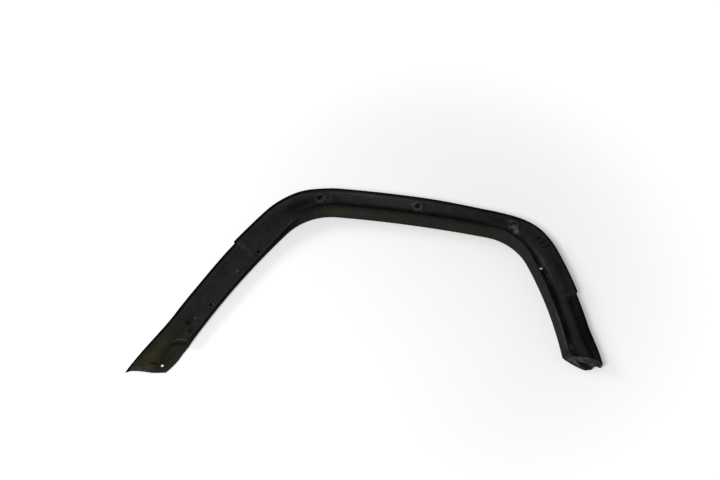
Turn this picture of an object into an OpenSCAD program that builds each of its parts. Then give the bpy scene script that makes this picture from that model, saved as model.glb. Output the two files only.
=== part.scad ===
// Wheel arch flare for a car: one black moulding that frames the wheel opening.
// It lies on its show face, with the side that meets the body upward.
// X runs along the car, Y is up on the car and Z points inboard, away from the wheel.
// The long leg on -X runs down to the sill, and the short leg on +X to the bumper.
//
// Every place on the moulding is given by two lengths: a station, measured along the
// crown line that borders the wheel opening, and a reach, measured square to that line
// and away from the wheel.

/* [Arch line] */
// Angle of the sill leg to the ground where it starts
sill_leg_angle = 69.5; // [64:0.5:75]
// Length of the sill leg along the crown line
sill_leg_length = 356; // [300:1:400]
// Radius of the slight bend of the sill leg
sill_leg_radius = 1690; // [1200:10:3000]
// Radius of the crown line at the sill corner
sill_corner_radius = 126; // [100:1:160]
// Angle that the crown line turns through at the sill corner
sill_corner_turn = 54.5; // [48:0.5:60]
// Length of the top of the arch between its corners
top_length = 327; // [260:1:400]
// Radius of the slight bend of the top
top_radius = 2640; // [2000:10:4000]
// Radius of the crown line at the bumper corner
bumper_corner_radius = 112; // [95:1:150]
// Angle that the crown line turns through at the bumper corner
bumper_corner_turn = 56; // [50:0.5:60]
// Length of the bumper leg along the crown line
bumper_leg_length = 244; // [200:1:300]
// Radius of the slight bend of the bumper leg
bumper_leg_radius = 805; // [600:5:2000]
// How far the middle of the sill leg lifts off a flat floor
leg_bow = 1; // [0:0.5:4]

/* [Show face] */
// Wall thickness of the moulding
wall = 2.8; // [2.2:0.1:3.2]
// Reach of the outer edge along the sill leg
leg_reach = 58; // [52:0.5:66]
// Reach of the outer edge along the top, apart from the joggle
top_reach = 55.5; // [51:0.5:63]
// Reach of the outer edge around the bumper corner, apart from the joggle
corner_reach = 64.5; // [58:0.5:70]
// Reach of the outer edge at the foot of the bumper leg
foot_reach = 71; // [66:0.5:76]
// Height of the outer edge above the floor along the arch
edge_height = 28; // [24:0.5:34]
// Outer radius of the crown, where the show face turns into the return flange
crown_radius = 6; // [5:0.5:9]
// How strongly the show face bulges: 1 is flat
face_bulge = 1.4; // [1:0.05:2]
// Share of the face's height that the riser behind the flange takes along the top
riser_share = 0.7; // [0.5:0.05:0.8]
// Depth of the valley between the ridge and the lip above the bumper joggle
upper_valley = 6; // [3:0.5:9]
// Depth of the same valley from the bumper joggle down to the end wall
lower_valley = 13; // [8:0.5:14]

/* [Outer lip] */
// Height of the lip above the back of the face
lip_height = 7; // [5:0.5:8]
// Thickness of the lip
lip_wall = 2.2; // [2:0.1:3]
// Station of the joggle in the lip on the sill leg
sill_joggle = 263; // [225:1:300]
// Distance from the end of the bumper leg back to the other joggle
bumper_joggle_back = 149; // [110:1:160]
// How far the lip stands proud between the two joggles
joggle_reach = 3.6; // [2:0.2:6]
// How much higher the lip is between the two joggles
joggle_height = 1.6; // [1:0.2:4]
// Length over which a joggle is made
joggle_length = 4; // [3:0.5:8]

/* [Return flange] */
// Thickness of the flange that turns into the wheel opening
flange_wall = 2.6; // [2:0.1:3.2]
// Height of the flange above the floor along the top
flange_top_height = 47; // [38:1:54]
// Height of the flange along the bumper leg
flange_bumper_height = 46; // [36:1:54]
// Height of the flange along the sill leg
flange_sill_height = 22; // [18:1:32]
// How far the free edge leans away from the wheel for each millimetre of height
flange_lean = 0.05; // [0:0.01:0.08]
// Station where the flange ends and the flat tail begins
flange_start = 33; // [26:1:42]

/* [Tail] */
// How far the tail runs on past the start of the crown line
tail_length = 27; // [20:1:34]
// Reach of the pointed outer corner of the tail
tail_reach = 77; // [70:0.5:82]
// Height of the pointed outer corner of the tail
tail_edge_height = 12; // [8:0.5:16]
// Slope of the tail's cut end, as run along the arch for each millimetre of reach
tail_skew = 0.58; // [0.4:0.01:0.7]
// How far the cut end is hollowed out beside the pointed corner
tail_hollow = 5; // [1:0.5:6]
// How far the inner corner of the tail is rounded away
tail_corner = 9; // [4:0.5:12]
// Radius of the screw holes in the tail and in the bumper corner
screw_hole_radius = 3; // [2.5:0.1:3.5]
// Length of the blind slot in the tail
tail_slot_length = 13; // [10:0.5:18]
// Width of the blind slot in the tail
tail_slot_width = 3.2; // [2.5:0.1:4]

/* [Foot of the bumper leg] */
// Reach over which the inner corner of the foot is cut away
foot_radius = 38; // [30:1:44]
// Height of the end wall
end_wall_height = 30; // [24:0.5:34]
// Slope of the end wall at its inner corner, as run for each millimetre of height
end_wall_slope = 0.6; // [0.3:0.05:0.65]
// Width of the ledge left in front of the end wall at the middle of the foot
end_ledge = 9; // [5:0.5:12]
// Length of the slot at the base of the end wall
end_slot_length = 34; // [26:1:38]
// Height of the slot at the base of the end wall
end_slot_height = 6; // [4:0.5:9]

/* [Clip bosses] */
// Radius of the hole in the three bosses along the top
top_boss_hole = 6; // [5:0.1:6.5]
// Wall of the bosses along the top
top_boss_wall = 7; // [5:0.5:8]
// Height of the bosses along the top above the floor
top_boss_height = 22; // [20.5:0.5:25]
// Radius of the hole in the two bosses on the sill leg
leg_boss_hole = 4; // [3:0.1:4.5]
// Wall of the bosses on the sill leg
leg_boss_wall = 4; // [3:0.5:5]
// Height of the bosses on the sill leg above the floor
leg_boss_height = 11; // [10:0.5:16]

/* [Hidden] */
$fn = 32;

plastic = "#1c1d1d";

// The crown line is five arcs, each turning clockwise.
function arc_turn(length, radius) = length / radius * 180 / PI;
function arc_length(radius, turn) = radius * turn * PI / 180;
arcs = [
    [sill_leg_length, arc_turn(sill_leg_length, sill_leg_radius)],
    [arc_length(sill_corner_radius, sill_corner_turn), sill_corner_turn],
    [top_length, arc_turn(top_length, top_radius)],
    [arc_length(bumper_corner_radius, bumper_corner_turn), bumper_corner_turn],
    [bumper_leg_length, arc_turn(bumper_leg_length, bumper_leg_radius)]
];

// Landmarks along the crown line
sill_corner_start = arcs[0][0];
top_start = sill_corner_start + arcs[1][0];
top_end = top_start + arcs[2][0];
bumper_corner_end = top_end + arcs[3][0];
foot_end = bumper_corner_end + arcs[4][0];
bumper_joggle = foot_end - bumper_joggle_back;

// Point and heading of the crown line at a station: [x, y, heading]
function crown(station, i = 0, x = 0, y = 0, heading = sill_leg_angle) =
    let(
        last = i == len(arcs) - 1 || station < arcs[i][0],
        run = last ? station : arcs[i][0],
        turn = arcs[i][1] * run / arcs[i][0],
        radius = arcs[i][0] / arcs[i][1] * 180 / PI,
        next_x = x + radius * (sin(heading) - sin(heading - turn)),
        next_y = y + radius * (cos(heading - turn) - cos(heading))
    )
    last
        ? [next_x, next_y, heading - turn]
        : crown(station - run, i + 1, next_x, next_y, heading - turn);

// Easing and interpolation along the arch
function mix(a, b, t) = a + (b - a) * t;
function clamp(t) = min(1, max(0, t));
function ease(t) = let(c = clamp(t)) c * c * (3 - 2 * c);
function along(station, knots, i = 0) =
    i == len(knots) - 1 || station <= knots[i][0]
        ? knots[i][1]
        : station < knots[i + 1][0]
            ? mix(
                knots[i][1],
                knots[i + 1][1],
                ease((station - knots[i][0]) / (knots[i + 1][0] - knots[i][0]))
            )
            : along(station, knots, i + 1);

// How the section changes along the arch
tail_fade = 80;
function proud(station) =
    ease((station - sill_joggle) / joggle_length + 0.5)
    - ease((station - bumper_joggle) / joggle_length + 0.5);
function reach(station) =
    joggle_reach * proud(station)
    + along(station, [
        [-tail_length, tail_reach],
        [0.88 * tail_fade, leg_reach],
        [140, leg_reach],
        [sill_joggle, leg_reach + 2.5],
        [sill_corner_start + 55, leg_reach + 2],
        [top_start - 18, top_reach],
        [mix(top_start, top_end, 0.55), top_reach],
        [top_end + 6, top_reach - 4],
        [top_end + 78, corner_reach],
        [bumper_joggle + 66, corner_reach - 1.5],
        [foot_end, foot_reach]
    ]);
function edge_top(station) =
    joggle_height * proud(station)
    + along(station, [
        [-tail_length, tail_edge_height],
        [tail_fade, edge_height - 2],
        [top_start, edge_height],
        [foot_end, edge_height - 2]
    ]);
function lip_rise(station) = along(station, [[-tail_length, 0.4], [tail_fade / 2, lip_height]]);
tail_radius = 1.5;
function crown_bend(station) = along(station, [
    [flange_start - 1, tail_radius],
    [flange_start + 14, crown_radius]
]);
flush = 0.7;
function flange_height(station) = along(station, [
    [flange_start - 1, wall + flush],
    [flange_start + 9, flange_sill_height],
    [0.75 * sill_corner_start, flange_sill_height + 2],
    [top_start + 10, flange_top_height],
    [top_end, flange_top_height],
    [bumper_corner_end, flange_bumper_height],
    [foot_end - 6, flange_bumper_height],
    [foot_end, end_wall_height]
]);
function lean(station) = along(station, [[sill_corner_start, 0], [top_start, flange_lean]]);

// The inner edge is straight along the crown, and rounded at the tail and at the foot.
// At the foot the rounding is widest at the floor.
foot_run = 28;
foot_squareness = 1.2;
function foot_corner(station, height) =
    let(
        cut = foot_radius * clamp((end_wall_height + 1 - height) / (end_wall_height + 1 - crown_radius)),
        past = clamp((station - foot_end + foot_run) / foot_run)
    )
    cut * (1 - pow(1 - pow(past, foot_squareness), 1 / foot_squareness));
function inner_edge(station, height = 0) =
    1.4 * ease((flange_start + 6 - station) / 22)
    + (tail_corner - 1.4) * pow(clamp((6 - station) / (6 + tail_length)), 1.8)
    + foot_corner(station, height);
function foot_slope(station, height) =
    min(2, max(0, foot_corner(station + 0.5, height) - foot_corner(station - 0.5, height)));
function lift(station) =
    let(t = clamp(station / sill_corner_start))
    leg_bow * pow(sin(180 * t), 2);

// The show face: share is 0 at the crown and 1 at the outer edge.
// On the sill leg it bulges evenly. From the sill corner on, a riser behind the flange
// lifts it to a plateau, and on the bumper leg the plateau narrows to a ridge with a
// valley between it and the lip.
joggle_from = 0.35;
joggle_to = 0.95;
riser_from = 0.32;
riser_to = 0.48;
valley_from = 0.56;
valley_to = 0.92;
valley_fall = 13;
function riser(station) = along(station, [[sill_corner_start + 12, 0], [top_start - 25, 1]]);
function ridge_shift(station) = along(station, [
    [top_end - 10, 0],
    [top_end + 55, 0.04],
    [top_end + 90, -0.06],
    [bumper_corner_end + 24, 0.01],
    [bumper_joggle - 30, 0.01],
    [bumper_joggle + 12, -0.02],
    [foot_end - 60, -0.02],
    [foot_end - 30, 0.04]
]);
full_width = 50;
function valley(station) =
    clamp((reach(station) - face_start(station)) / full_width)
    * (
        along(station, [[top_end + 50, 0], [bumper_corner_end + 20, upper_valley]])
        + (lower_valley - upper_valley)
            * ease((station - bumper_joggle + joggle_length / 2) / valley_fall)
    );
function face_height(station, share) =
    let(
        rise = edge_top(station) - joggle_height * proud(station) - lip_rise(station) - 1.15 * wall,
        full = max(0, share),
        along_shift = share - ridge_shift(station),
        plain = pow(full, face_bulge),
        step = ease((along_shift - riser_from) / (riser_to - riser_from)),
        stepped = riser_share * step + (1 - riser_share) * pow(full, 1.6),
        drop = ease((along_shift - valley_from) / (valley_to - valley_from))
    )
    rise * mix(plain, stepped, riser(station))
    - valley(station) * drop
    + joggle_height * proud(station) * ease((share - joggle_from) / (joggle_to - joggle_from));
function face_start(station) = inner_edge(station) + crown_bend(station);
function face_share(station, out) = (out - face_start(station)) / (reach(station) - face_start(station));
slope_step = 0.02;
function face_slope(station, share) =
    (face_height(station, share + slope_step) - face_height(station, max(0, share - slope_step)))
    / ((share + slope_step - max(0, share - slope_step)) * (reach(station) - face_start(station)));
function back_height(station, share) =
    face_height(station, share) + wall * sqrt(1 + pow(face_slope(station, share), 2));

// A section is a list of pairs, each a point on the show side and its partner on the
// back, from the flange's free edge round the crown to the lip. Each is [reach, height].
face_shares = [0.1, 0.19, 0.27, 0.34, 0.41, 0.48, 0.57, 0.67, 0.78, 0.89];
bend_angles = [0, 30, 60, 90];
function section(station) =
    let(
        bend = crown_bend(station),
        edge = inner_edge(station),
        fillet = max(bend - wall, 0.6),
        top = flange_height(station),
        top_edge = inner_edge(station, top) + lean(station) * (top - bend),
        top_wall = flange_wall * sqrt(1 + pow(foot_slope(station, top), 2)),
        foot_wall = flange_wall * sqrt(1 + pow(foot_slope(station, 0), 2)),
        outer = reach(station),
        lip_share = face_share(station, outer - lip_wall)
    )
    concat(
        [[[top_edge, top], [top_edge + top_wall, top]]],
        [for (a = bend_angles) [
            [edge + bend * (1 - cos(a)), bend * (1 - sin(a))],
            [
                edge + mix(foot_wall, flange_wall, a / 90) + fillet * (1 - cos(a)),
                wall + fillet * (1 - sin(a))
            ]
        ]],
        [for (grid = face_shares) let(
            moved = grid + ridge_shift(station) * min(1, grid / 0.2, (1 - grid) / 0.22),
            out = min(mix(edge + bend, outer, moved), outer - 1.5 * lip_wall),
            share = face_share(station, out)
        ) [
            [out, face_height(station, share)],
            [out, back_height(station, share)]
        ]],
        [
            [[outer, face_height(station, 1)], [outer - lip_wall, back_height(station, lip_share)]],
            [[outer, edge_top(station)], [outer - lip_wall, edge_top(station)]]
        ]
    );

// A place in space, from its station, reach and height
function site(station, out, height) =
    let(c = crown(station))
    [c[0] - out * sin(c[2]), c[1] + out * cos(c[2]), height + lift(station)];

// A place on a section. The sections turn and bend to follow the cut end of the tail,
// and at the foot they lean back towards its inner corner.
hollow_run = 5;
function hollow(station, out) =
    tail_hollow
    * ease((-hollow_run - station) / (tail_length - hollow_run))
    * (ease((out / tail_reach - 0.34) / 0.46) - 0.8 * ease((out / tail_reach - 0.9) / 0.12));
lean_back_length = 60;
function place(station, out, height) =
    let(
        skew = tail_skew * ease((tail_fade - station) / (tail_fade + tail_length)),
        slope = end_wall_slope * clamp(1 - out / foot_reach)
            * ease((station - foot_end + lean_back_length) / lean_back_length),
        p = site(station + hollow(station, out) - skew * out - slope * height, out, height)
    )
    [p[0], p[1], height + lift(station)];

function ring(station) =
    let(pairs = section(station), n = len(pairs))
    concat(
        [for (i = [0:n - 1]) place(station, pairs[i][0][0], pairs[i][0][1])],
        [for (i = [n - 1:-1:0]) place(station, pairs[i][1][0], pairs[i][1][1])]
    );

// Stations of the sections, closer where the arch bends or steps
function spread(from, to, step) =
    let(n = max(1, ceil((to - from) / step)))
    [for (i = [0:n - 1]) mix(from, to, i / n)];
stations = concat(
    spread(-tail_length, flange_start - 1, 7),
    spread(flange_start - 1, flange_start + 9, 3),
    spread(flange_start + 9, sill_joggle - joggle_length / 2, 17),
    spread(sill_joggle - joggle_length / 2, sill_joggle + joggle_length / 2, joggle_length / 2),
    spread(sill_joggle + joggle_length / 2, sill_corner_start, 15),
    spread(sill_corner_start, top_start, 8),
    spread(top_start, top_end, 17),
    spread(top_end, bumper_corner_end, 7),
    spread(bumper_corner_end, bumper_joggle - joggle_length / 2, 13),
    spread(bumper_joggle - joggle_length / 2, bumper_joggle + joggle_length / 2, joggle_length / 2),
    spread(bumper_joggle + joggle_length / 2, bumper_joggle - joggle_length / 2 + valley_fall, 3),
    spread(bumper_joggle - joggle_length / 2 + valley_fall, foot_end - foot_run, 13),
    [for (a = [0:15:75]) foot_end - foot_run * (1 - sin(a))],
    [foot_end]
);
rings = [for (station = stations) ring(station)];

// The part's own origin is under the middle of its outline, on the floor.
all_x = [for (r = rings, p = r) p[0]];
all_y = [for (r = rings, p = r) p[1]];
middle = [(min(all_x) + max(all_x)) / 2, (min(all_y) + max(all_y)) / 2];
function spot(station, out, height = 0) =
    let(p = place(station, out, height))
    [p[0] - middle[0], p[1] - middle[1], p[2]];

// Joins rings of equal count into a closed skin. An open ring of pairs is capped by a
// ladder between its two sides. The triangles of the two sides lie back to back.
function skin_faces(count, n, half) = concat(
    [for (k = [0:count - 2], i = [0:n - 1]) let(a = k * n + i, b = k * n + (i + 1) % n)
        each i < half
            ? [[a, b + n, b], [a, a + n, b + n]]
            : [[a, a + n, b], [a + n, b + n, b]]],
    [for (i = [0:half - 2]) let(a = i, b = n - 1 - i)
        each [[a, b - 1, b], [a, a + 1, b - 1]]],
    [for (i = [0:half - 2]) let(e = (count - 1) * n, a = i, b = n - 1 - i)
        each [[e + a, e + b, e + b - 1], [e + a, e + b - 1, e + a + 1]]]
);
module skin(list) {
    n = len(list[0]);
    polyhedron(
        points = [for (r = list, p = r) [p[0] - middle[0], p[1] - middle[1], p[2]]],
        faces = skin_faces(len(list), n, n / 2)
    );
}

module shell() {
    skin(rings);
}

// Height and slope of the middle of the wall at a place, where inner features are rooted
function root_height(station, out) =
    let(share = face_share(station, out))
    (face_height(station, share) + back_height(station, share)) / 2;
function root_tilt(station, out) = atan(face_slope(station, face_share(station, out)));

// Stands children on the wall at a place. They point along +Z, with +X away from the
// wheel, and what would reach below the middle of the wall is cut off.
cut_size = 60;
module on_wall(station, out) {
    p = spot(station, out);
    root = root_height(station, out);
    difference() {
        translate([p[0], p[1], 0])
            rotate([0, 0, crown(station)[2] + 90])
                children();
        translate([p[0], p[1], root + p[2]])
            rotate([0, 0, crown(station)[2] + 90])
                rotate([0, -root_tilt(station, out), 0])
                    translate([-cut_size / 2, -cut_size / 2, -cut_size])
                        cube(cut_size);
    }
}

// Clip bosses: low rings that stand on the back of the face
top_bosses = [
    [mix(sill_corner_start, top_start, 0.745), 41],
    [mix(top_start, top_end, 0.521), 40.5],
    [mix(top_end, bumper_corner_end, 0.34), 43]
];
leg_bosses = [
    [0.368 * sill_corner_start, 15],
    [sill_joggle + 21.5, 15.2]
];
module boss(at, radius, height) {
    on_wall(at[0], at[1])
        cylinder(r = radius, h = height);
}
hole_floor = 1.6;
module boss_hole(at, radius, height) {
    p = spot(at[0], at[1]);
    bottom = root_height(at[0], at[1]) + p[2] + hole_floor - wall / 2 + radius * abs(tan(root_tilt(at[0], at[1])));
    translate([p[0], p[1], bottom])
        cylinder(r = radius, h = height + 10 - bottom);
}

// Two shallow dimples and a locating pip near the end of the flange
dimples = [[flange_start + 42, 29], [flange_start + 32.5, 17.5]];
dimple_radius = 4;
dimple_depth = 1.3;
pip = [flange_start + 59, 23.5];
pip_radius = 2;
pip_height = 9;
module dimple(at) {
    p = spot(at[0], at[1]);
    translate([p[0], p[1], back_height(at[0], face_share(at[0], at[1])) + p[2] - dimple_depth])
        cylinder(r = dimple_radius, h = 10);
}

// Low round pads at the bumper corner
pads = [
    [mix(top_end, bumper_corner_end, 0.65), 45, 11],
    [bumper_corner_end + 28.5, 31, 8.5]
];
pad_rise = 1.4;

// Short ribs between the upper pad and the lip
rib_wall = 2;
corner_ribs = [0.71, 0.79, 0.87];
corner_rib_length = 13;
corner_rib_height = 26;
corner_rib_turn = -12;
module rib(station, out, length, height, turn = 0) {
    on_wall(station, out)
        rotate([0, 0, turn])
            translate([-length / 2, -rib_wall / 2, 0])
                cube([length, rib_wall, height]);
}

// The wall that closes the channel where the flange ends: it leaves the flange, runs
// across the tail and curls down along it
curl_steps = 14;
curl_start = flange_start + 10.5;
curl_top = 18;
curl_end_top = 12;
function curl_at(t) = [
    curl_start - 9 * t - 4 * pow(max(0, (t - 0.5) / 0.5), 1.5),
    3.2 + 27.3 * sin(90 * t)
];
function curl_ring(t) =
    let(
        at = curl_at(t),
        before = curl_at(max(0, t - 0.02)),
        after = curl_at(min(1, t + 0.02)),
        run = norm(after - before),
        across = [after[1] - before[1], before[0] - after[0]] / run * flange_wall / 2,
        base = root_height(at[0], at[1]),
        top = mix(curl_top, curl_end_top, ease(t))
    )
    [
        place(at[0] + across[0], at[1] + across[1], base),
        place(at[0] + across[0], at[1] + across[1], top),
        place(at[0] - across[0], at[1] - across[1], top),
        place(at[0] - across[0], at[1] - across[1], base)
    ];
module curl() {
    skin([for (i = [curl_steps:-1:0]) curl_ring(i / curl_steps)]);
}

// The end wall of the foot closes the channel. It stands back from the end by the
// ledge, and meets the end at the lip. Its lower edge follows the middle of the face,
// and at the inner corner the slanting flange.
end_wall_steps = 12;
end_wall_draft = 0.08;
end_wall_sweep = 2 * end_ledge;
end_wall_start = 1.5;
function end_wall_line(out) = foot_end - end_wall_sweep * (1 - pow(out / foot_reach, 2.2));
function end_wall_slice(out, inset) =
    let(
        station = end_wall_line(out) - inset,
        floor_edge = inner_edge(station) + crown_radius,
        share = clamp(face_share(station, out)),
        face = (face_height(station, share) + back_height(station, share)) / 2,
        low = mix(face, end_wall_height - 2, max(0, (floor_edge - out) / floor_edge))
    )
    [
        site(station + end_wall_draft * (end_wall_height - low), out, low),
        site(station, out, end_wall_height)
    ];
module end_wall() {
    to = reach(foot_end) - 1;
    skin([for (i = [0:end_wall_steps])
        let(
            out = mix(end_wall_start, to, i / end_wall_steps),
            near = end_wall_slice(out, 0.5),
            far = end_wall_slice(out, 0.5 + wall)
        )
        [far[0], far[1], near[1], near[0]]
    ]);
}
end_slot_middle = 51;
end_slot_turn = 16;
module end_slot() {
    station = end_wall_line(end_slot_middle);
    c = site(station, end_slot_middle, 0);
    height = back_height(station, face_share(station, end_slot_middle));
    translate([c[0] - middle[0], c[1] - middle[1], height + end_slot_height / 2 + 0.5])
        rotate([0, 0, crown(station)[2] + 90 - end_slot_turn])
            cube([end_slot_length, 14, end_slot_height], center = true);
}

// Screw holes of the tail and the bumper corner, and the drain hole by the last boss
tail_screw = [-11.5, 23.2];
corner_screw = [bumper_corner_end + 15.5, 25.4];
drain = [mix(top_end, bumper_corner_end, 0.395), 38];
drain_radius = 2.2;
module through_hole(at, radius) {
    p = spot(at[0], at[1]);
    translate([p[0], p[1], -5])
        cylinder(r = radius, h = 40);
}

// Blind slot in the tail, and the low rib beside its cut end
tail_slot = [-8.5, 38.5];
tail_slot_turn = 13.7;
tail_slot_depth = 1.5;
module tail_slot_cut() {
    p = spot(tail_slot[0], tail_slot[1]);
    straight = tail_slot_length - tail_slot_width;
    floor_height = back_height(tail_slot[0], face_share(tail_slot[0], tail_slot[1])) - tail_slot_depth;
    translate([p[0], p[1], floor_height])
        rotate([0, 0, crown(-tail_length)[2] + 90 + tail_slot_turn]) {
            translate([-straight / 2, -tail_slot_width / 2, 0])
                cube([straight, tail_slot_width, 10]);
            for (side = [-1, 1])
                translate([side * straight / 2, 0, 0])
                    cylinder(d = tail_slot_width, h = 10);
        }
}
tail_rib = [-21.5, 44];
tail_rib_length = 38;
tail_rib_turn = 20;
tail_rib_rise = 1.6;
module tail_rib_bar() {
    height = back_height(tail_rib[0], face_share(tail_rib[0], tail_rib[1])) + tail_rib_rise;
    rib(tail_rib[0], tail_rib[1], tail_rib_length, height, tail_rib_turn);
}

module flare_moulding() {
    color(plastic)
    difference() {
        union() {
            shell();
            curl();
            end_wall();
            for (at = top_bosses)
                boss(at, top_boss_hole + top_boss_wall, top_boss_height);
            for (at = leg_bosses)
                boss(at, leg_boss_hole + leg_boss_wall, leg_boss_height);
            boss(pip, pip_radius, pip_height);
            for (pad = pads)
                boss(pad, pad[2], back_height(pad[0], face_share(pad[0], pad[1])) + pad_rise);
            for (t = corner_ribs)
                rib(mix(top_end, bumper_corner_end, t), 52, corner_rib_length, corner_rib_height, corner_rib_turn);
            tail_rib_bar();
        }
        for (at = top_bosses)
            boss_hole(at, top_boss_hole, top_boss_height);
        for (at = leg_bosses)
            boss_hole(at, leg_boss_hole, leg_boss_height);
        for (at = dimples)
            dimple(at);
        through_hole(tail_screw, screw_hole_radius);
        through_hole(corner_screw, screw_hole_radius);
        through_hole(drain, drain_radius);
        tail_slot_cut();
        end_slot();
    }
}

flare_moulding();
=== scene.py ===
import math

import bmesh
import bpy
from mathutils import Matrix, Vector, kdtree

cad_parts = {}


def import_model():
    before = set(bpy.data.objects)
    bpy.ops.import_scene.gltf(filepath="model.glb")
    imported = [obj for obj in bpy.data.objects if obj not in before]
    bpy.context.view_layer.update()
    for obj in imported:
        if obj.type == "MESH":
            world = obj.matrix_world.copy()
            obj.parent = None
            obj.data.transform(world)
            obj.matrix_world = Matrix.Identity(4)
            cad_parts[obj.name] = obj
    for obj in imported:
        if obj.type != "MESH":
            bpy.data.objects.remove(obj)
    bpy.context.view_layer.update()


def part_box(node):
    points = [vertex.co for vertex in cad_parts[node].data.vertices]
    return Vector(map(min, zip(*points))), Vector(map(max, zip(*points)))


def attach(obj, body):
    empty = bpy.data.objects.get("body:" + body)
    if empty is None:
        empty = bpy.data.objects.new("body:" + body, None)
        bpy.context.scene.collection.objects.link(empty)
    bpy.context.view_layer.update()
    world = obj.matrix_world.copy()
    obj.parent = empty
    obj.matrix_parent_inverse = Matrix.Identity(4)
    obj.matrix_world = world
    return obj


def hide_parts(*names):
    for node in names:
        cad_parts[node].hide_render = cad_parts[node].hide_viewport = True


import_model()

MM = 0.001

# Sizes of the moulding in millimetres, as in the part's source
SILL_LEG_ANGLE = 69.5
SILL_LEG_LENGTH = 356.0
SILL_LEG_RADIUS = 1690.0
SILL_CORNER_RADIUS = 126.0
SILL_CORNER_TURN = 54.5
TOP_LENGTH = 327.0
TOP_RADIUS = 2640.0
BUMPER_CORNER_RADIUS = 112.0
BUMPER_CORNER_TURN = 56.0
BUMPER_LEG_LENGTH = 244.0
BUMPER_LEG_RADIUS = 805.0
LEG_BOW = 1.0
WALL = 2.8
LEG_REACH = 58.0
TOP_REACH = 55.5
CORNER_REACH = 64.5
FOOT_REACH = 71.0
EDGE_HEIGHT = 28.0
CROWN_RADIUS = 6.0
FACE_BULGE = 1.4
RISER_SHARE = 0.7
UPPER_VALLEY = 6.0
LOWER_VALLEY = 13.0
LIP_HEIGHT = 7.0
LIP_WALL = 2.2
SILL_JOGGLE = 263.0
BUMPER_JOGGLE_BACK = 149.0
JOGGLE_REACH = 3.6
JOGGLE_HEIGHT = 1.6
JOGGLE_LENGTH = 4.0
FLANGE_WALL = 2.6
FLANGE_TOP_HEIGHT = 47.0
FLANGE_BUMPER_HEIGHT = 46.0
FLANGE_SILL_HEIGHT = 22.0
FLANGE_LEAN = 0.05
FLANGE_START = 33.0
TAIL_LENGTH = 27.0
TAIL_REACH = 77.0
TAIL_EDGE_HEIGHT = 12.0
TAIL_SKEW = 0.58
TAIL_HOLLOW = 5.0
TAIL_CORNER = 9.0
SCREW_HOLE_RADIUS = 3.0
TAIL_SLOT_LENGTH = 13.0
TAIL_SLOT_WIDTH = 3.2
FOOT_RADIUS = 38.0
END_WALL_HEIGHT = 30.0
END_WALL_SLOPE = 0.6
END_LEDGE = 9.0
END_SLOT_LENGTH = 34.0
END_SLOT_HEIGHT = 6.0
TOP_BOSS_HOLE = 6.0
TOP_BOSS_WALL = 7.0
TOP_BOSS_HEIGHT = 22.0
LEG_BOSS_HOLE = 4.0
LEG_BOSS_WALL = 4.0
LEG_BOSS_HEIGHT = 11.0

# The camera, as worked out from the photo
CAMERA_DISTANCE = 1.950
CAMERA_TILT = 30.0
CAMERA_ROLL = 8.4
FOCAL_PIXELS = 907.0
IMAGE_WIDTH = 720
SENSOR_WIDTH = 36.0
LOOK_FROM_START = (316.4, 329.7)
CAMERA_CLIP_END = 50


# Easing and interpolation along the arch
def mix(a, b, t):
    return a + (b - a) * t


def clamp(t):
    return min(1.0, max(0.0, t))


def ease(t):
    c = clamp(t)
    return c * c * (3 - 2 * c)


def along(station, knots):
    """A value at a station, eased between knots of station and value."""
    if station <= knots[0][0]:
        return knots[0][1]
    for before, after in zip(knots, knots[1:]):
        if station < after[0]:
            return mix(before[1], after[1], ease((station - before[0]) / (after[0] - before[0])))
    return knots[-1][1]


def arc_turn(length, radius):
    return math.degrees(length / radius)


def arc_length(radius, turn):
    return radius * math.radians(turn)


# The crown line is five arcs, each turning clockwise
ARCS = [
    (SILL_LEG_LENGTH, arc_turn(SILL_LEG_LENGTH, SILL_LEG_RADIUS)),
    (arc_length(SILL_CORNER_RADIUS, SILL_CORNER_TURN), SILL_CORNER_TURN),
    (TOP_LENGTH, arc_turn(TOP_LENGTH, TOP_RADIUS)),
    (arc_length(BUMPER_CORNER_RADIUS, BUMPER_CORNER_TURN), BUMPER_CORNER_TURN),
    (BUMPER_LEG_LENGTH, arc_turn(BUMPER_LEG_LENGTH, BUMPER_LEG_RADIUS)),
]
SILL_CORNER_START = ARCS[0][0]
TOP_START = SILL_CORNER_START + ARCS[1][0]
TOP_END = TOP_START + ARCS[2][0]
BUMPER_CORNER_END = TOP_END + ARCS[3][0]
FOOT_END = BUMPER_CORNER_END + ARCS[4][0]
BUMPER_JOGGLE = FOOT_END - BUMPER_JOGGLE_BACK


def crown(station):
    """Place and heading of the crown line at a station."""
    x, y, heading = 0.0, 0.0, SILL_LEG_ANGLE
    left = station
    for i, (length, turn) in enumerate(ARCS):
        last = i == len(ARCS) - 1 or left < length
        run = left if last else length
        bend = turn * run / length
        radius = math.degrees(length / turn)
        a, b = math.radians(heading), math.radians(heading - bend)
        x += radius * (math.sin(a) - math.sin(b))
        y += radius * (math.cos(b) - math.cos(a))
        heading -= bend
        if last:
            return x, y, heading
        left -= length


# How the section changes along the arch
TAIL_FADE = 80.0
TAIL_RADIUS = 1.5
FLUSH = 0.7
FULL_WIDTH = 50.0
VALLEY_FALL = 13.0
STEPPED_BULGE = 1.6
LIP_ROOT = 1.15
RISER = (0.32, 0.48)
VALLEY = (0.56, 0.92)
JOGGLE = (0.35, 0.95)


def proud(station):
    """1 where the outer edge stands out between the joggles, and 0 beyond them."""
    return (ease((station - SILL_JOGGLE) / JOGGLE_LENGTH + 0.5)
            - ease((station - BUMPER_JOGGLE) / JOGGLE_LENGTH + 0.5))


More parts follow.
